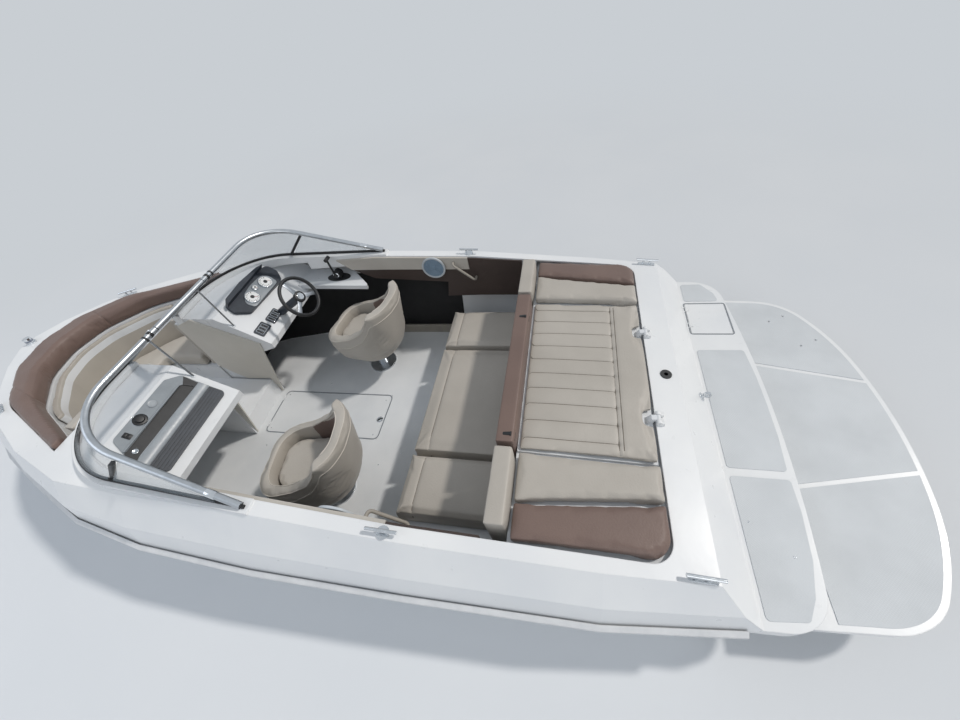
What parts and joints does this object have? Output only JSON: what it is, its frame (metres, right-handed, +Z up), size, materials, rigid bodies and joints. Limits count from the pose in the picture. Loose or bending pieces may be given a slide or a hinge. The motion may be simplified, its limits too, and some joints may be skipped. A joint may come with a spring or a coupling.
{
  "type": "bowrider sterndrive runabout",
  "caption": "Open bowrider runabout with a wraparound windscreen, swivel bucket seats, stern sun pad, swim platform and a tilting sterndrive.",
  "frame": {"origin": "on the waterline and centreline, below the aft top edge of the transom cap", "axes": "+X to the bow, +Y to port, +Z up"},
  "size_m": [6.1358, 2.474, 2.069],
  "materials": {
    "gelcoat": "white gelcoat",
    "gelcoat_sole": "white gelcoat with a fine non-skid grain",
    "rub_rail": "extruded vinyl strip",
    "vinyl_brown": "grained marine vinyl",
    "vinyl_beige": "grained marine vinyl with sewn seams",
    "vinyl_dark": "grained marine vinyl",
    "anodised": "anodised",
    "glass": "clear tempered",
    "black_plastic": "moulded, satin",
    "dash": "moulded, satin",
    "painted_block": "painted",
    "drive_paint": "gloss marine paint",
    "prop_metal": "painted aluminium",
    "steel_rod": "polished stainless",
    "chrome": "polished stainless",
    "speaker_grey": "moulded grille",
    "vinyl_beige_moulded": "moulded, satin",
    "non_skid": "diamond non-skid mat"
  },
  "bodies": {
    "boat": {"bench_backrests": "vinyl_beige", "bench_base": "gelcoat", "bench_cushions": "vinyl_beige", "bow_backrests": "vinyl_beige", "bow_bolster": "vinyl_brown", "bow_coaming": "gelcoat", "bow_eye": "chrome", "bow_liner": "gelcoat", "bow_seat_cushions": "vinyl_beige", "cleats": "chrome", "cockpit_sole": "gelcoat_sole", "console_port": "gelcoat", "console_starboard": "gelcoat", "deck": "gelcoat", "engine": "painted_block", "gimbal_housing": "drive_paint", "glovebox": "dash", "grab_handles": "vinyl_beige_moulded", "helm_dash": "dash", "hull": "gelcoat", "nav_light": "chrome", "rub_rail": "rub_rail", "seat_pedestals": "anodised", "side_pads": "vinyl_beige", "side_panels": "vinyl_dark", "speakers": "speaker_grey", "step_pads": "non_skid", "stern_light_socket": "black_plastic", "stern_liner": "gelcoat", "store_lips": "gelcoat", "sunpads_side": "vinyl_brown", "swim_extension": "gelcoat", "throttle_box": "black_plastic", "tow_eye": "chrome", "walkway_panels": "vinyl_beige", "windscreen_frame_port": "anodised", "windscreen_frame_starboard": "anodised", "windscreen_glass": "glass"},
    "drive_yoke": {"drive_yoke": "drive_paint"},
    "drive_leg": {"drive_leg": "drive_paint"},
    "propeller": {"propeller": "prop_metal"},
    "trim_cylinders": {"trim_cylinders": "drive_paint"},
    "trim_rods": {"trim_rods": "steel_rod"},
    "steering_wheel": {"steering_wheel": "black_plastic"},
    "windscreen_centre": {"centre_screen_frame": "anodised", "centre_screen_glass": "glass"},
    "helm_seat": {"helm_seat_shell": "vinyl_beige", "helm_seat_cushion": "vinyl_beige"},
    "port_seat": {"port_seat_shell": "vinyl_beige", "port_seat_cushion": "vinyl_beige"},
    "engine_lid": {"engine_lid": "gelcoat", "engine_lid_pad": "vinyl_beige"},
    "locker_lid": {"locker_lid": "gelcoat_sole"},
    "ladder_lid": {"ladder_lid": "gelcoat"}
  },
  "joints": [
    {"name": "drive_steer", "type": "hinge", "parent": "boat", "child": "drive_yoke", "pos_m": [-0.235, 0, -0.02], "axis": [0, 0, 1], "range_deg": [-30, 30]},
    {"name": "drive_tilt", "type": "hinge", "parent": "drive_yoke", "child": "drive_leg", "pos_m": [-0.235, 0, -0.02], "axis": [0, 1, 0], "range_deg": [-6, 28]},
    {"name": "propeller_spin", "type": "hinge", "parent": "drive_leg", "child": "propeller", "pos_m": [-0.69, 0, -0.57], "axis": [1, 0, 0], "continuous": true},
    {"name": "trim_ram_swing", "type": "hinge", "parent": "drive_yoke", "child": "trim_cylinders", "pos_m": [-0.305, 0, -0.21], "axis": [0, 1, 0], "range_deg": [-6, 24]},
    {"name": "trim_rod_slide", "type": "slide", "parent": "trim_cylinders", "child": "trim_rods", "axis": [-0.9308, 0, 0.3657], "range_m": [-0.022, 0.094]},
    {"name": "wheel_turn", "type": "hinge", "parent": "boat", "child": "steering_wheel", "pos_m": [2.56, -0.52, 0.88], "axis": [0.866, 0, -0.5], "range_deg": [-600, 600]},
    {"name": "windscreen_open", "type": "hinge", "parent": "boat", "child": "windscreen_centre", "pos_m": [3.41833, 0.2145, 1.00055], "axis": [-0.8712, 0, 0.4909], "range_deg": [0, 165]},
    {"name": "helm_seat_swivel", "type": "hinge", "parent": "boat", "child": "helm_seat", "pos_m": [2.19, -0.56, 0.35], "axis": [0, 0, 1], "range_deg": [-60, 40]},
    {"name": "port_seat_swivel", "type": "hinge", "parent": "boat", "child": "port_seat", "pos_m": [2.12, 0.6, 0.35], "axis": [0, 0, -1], "range_deg": [-170, 18]},
    {"name": "engine_lid_lift", "type": "hinge", "parent": "boat", "child": "engine_lid", "pos_m": [0.138, 0, 0.726], "axis": [0, -1, 0], "range_deg": [0, 60]},
    {"name": "locker_lid_lift", "type": "hinge", "parent": "boat", "child": "locker_lid", "pos_m": [2.983, 0, 0.085], "axis": [0, 1, 0], "range_deg": [0, 85]},
    {"name": "ladder_lid_lift", "type": "hinge", "parent": "boat", "child": "ladder_lid", "pos_m": [-0.216, -0.7105, 0.454], "axis": [0, 1, 0], "range_deg": [0, 95]}
  ],
  "couplings": [
    {"joint": "wheel_turn", "follows": "drive_steer", "ratio": 20},
    {"joint": "trim_ram_swing", "follows": "drive_tilt", "ratio": 0.822},
    {"joint": "trim_rod_slide", "follows": "drive_tilt", "m_per_rad": 0.186}
  ]
}
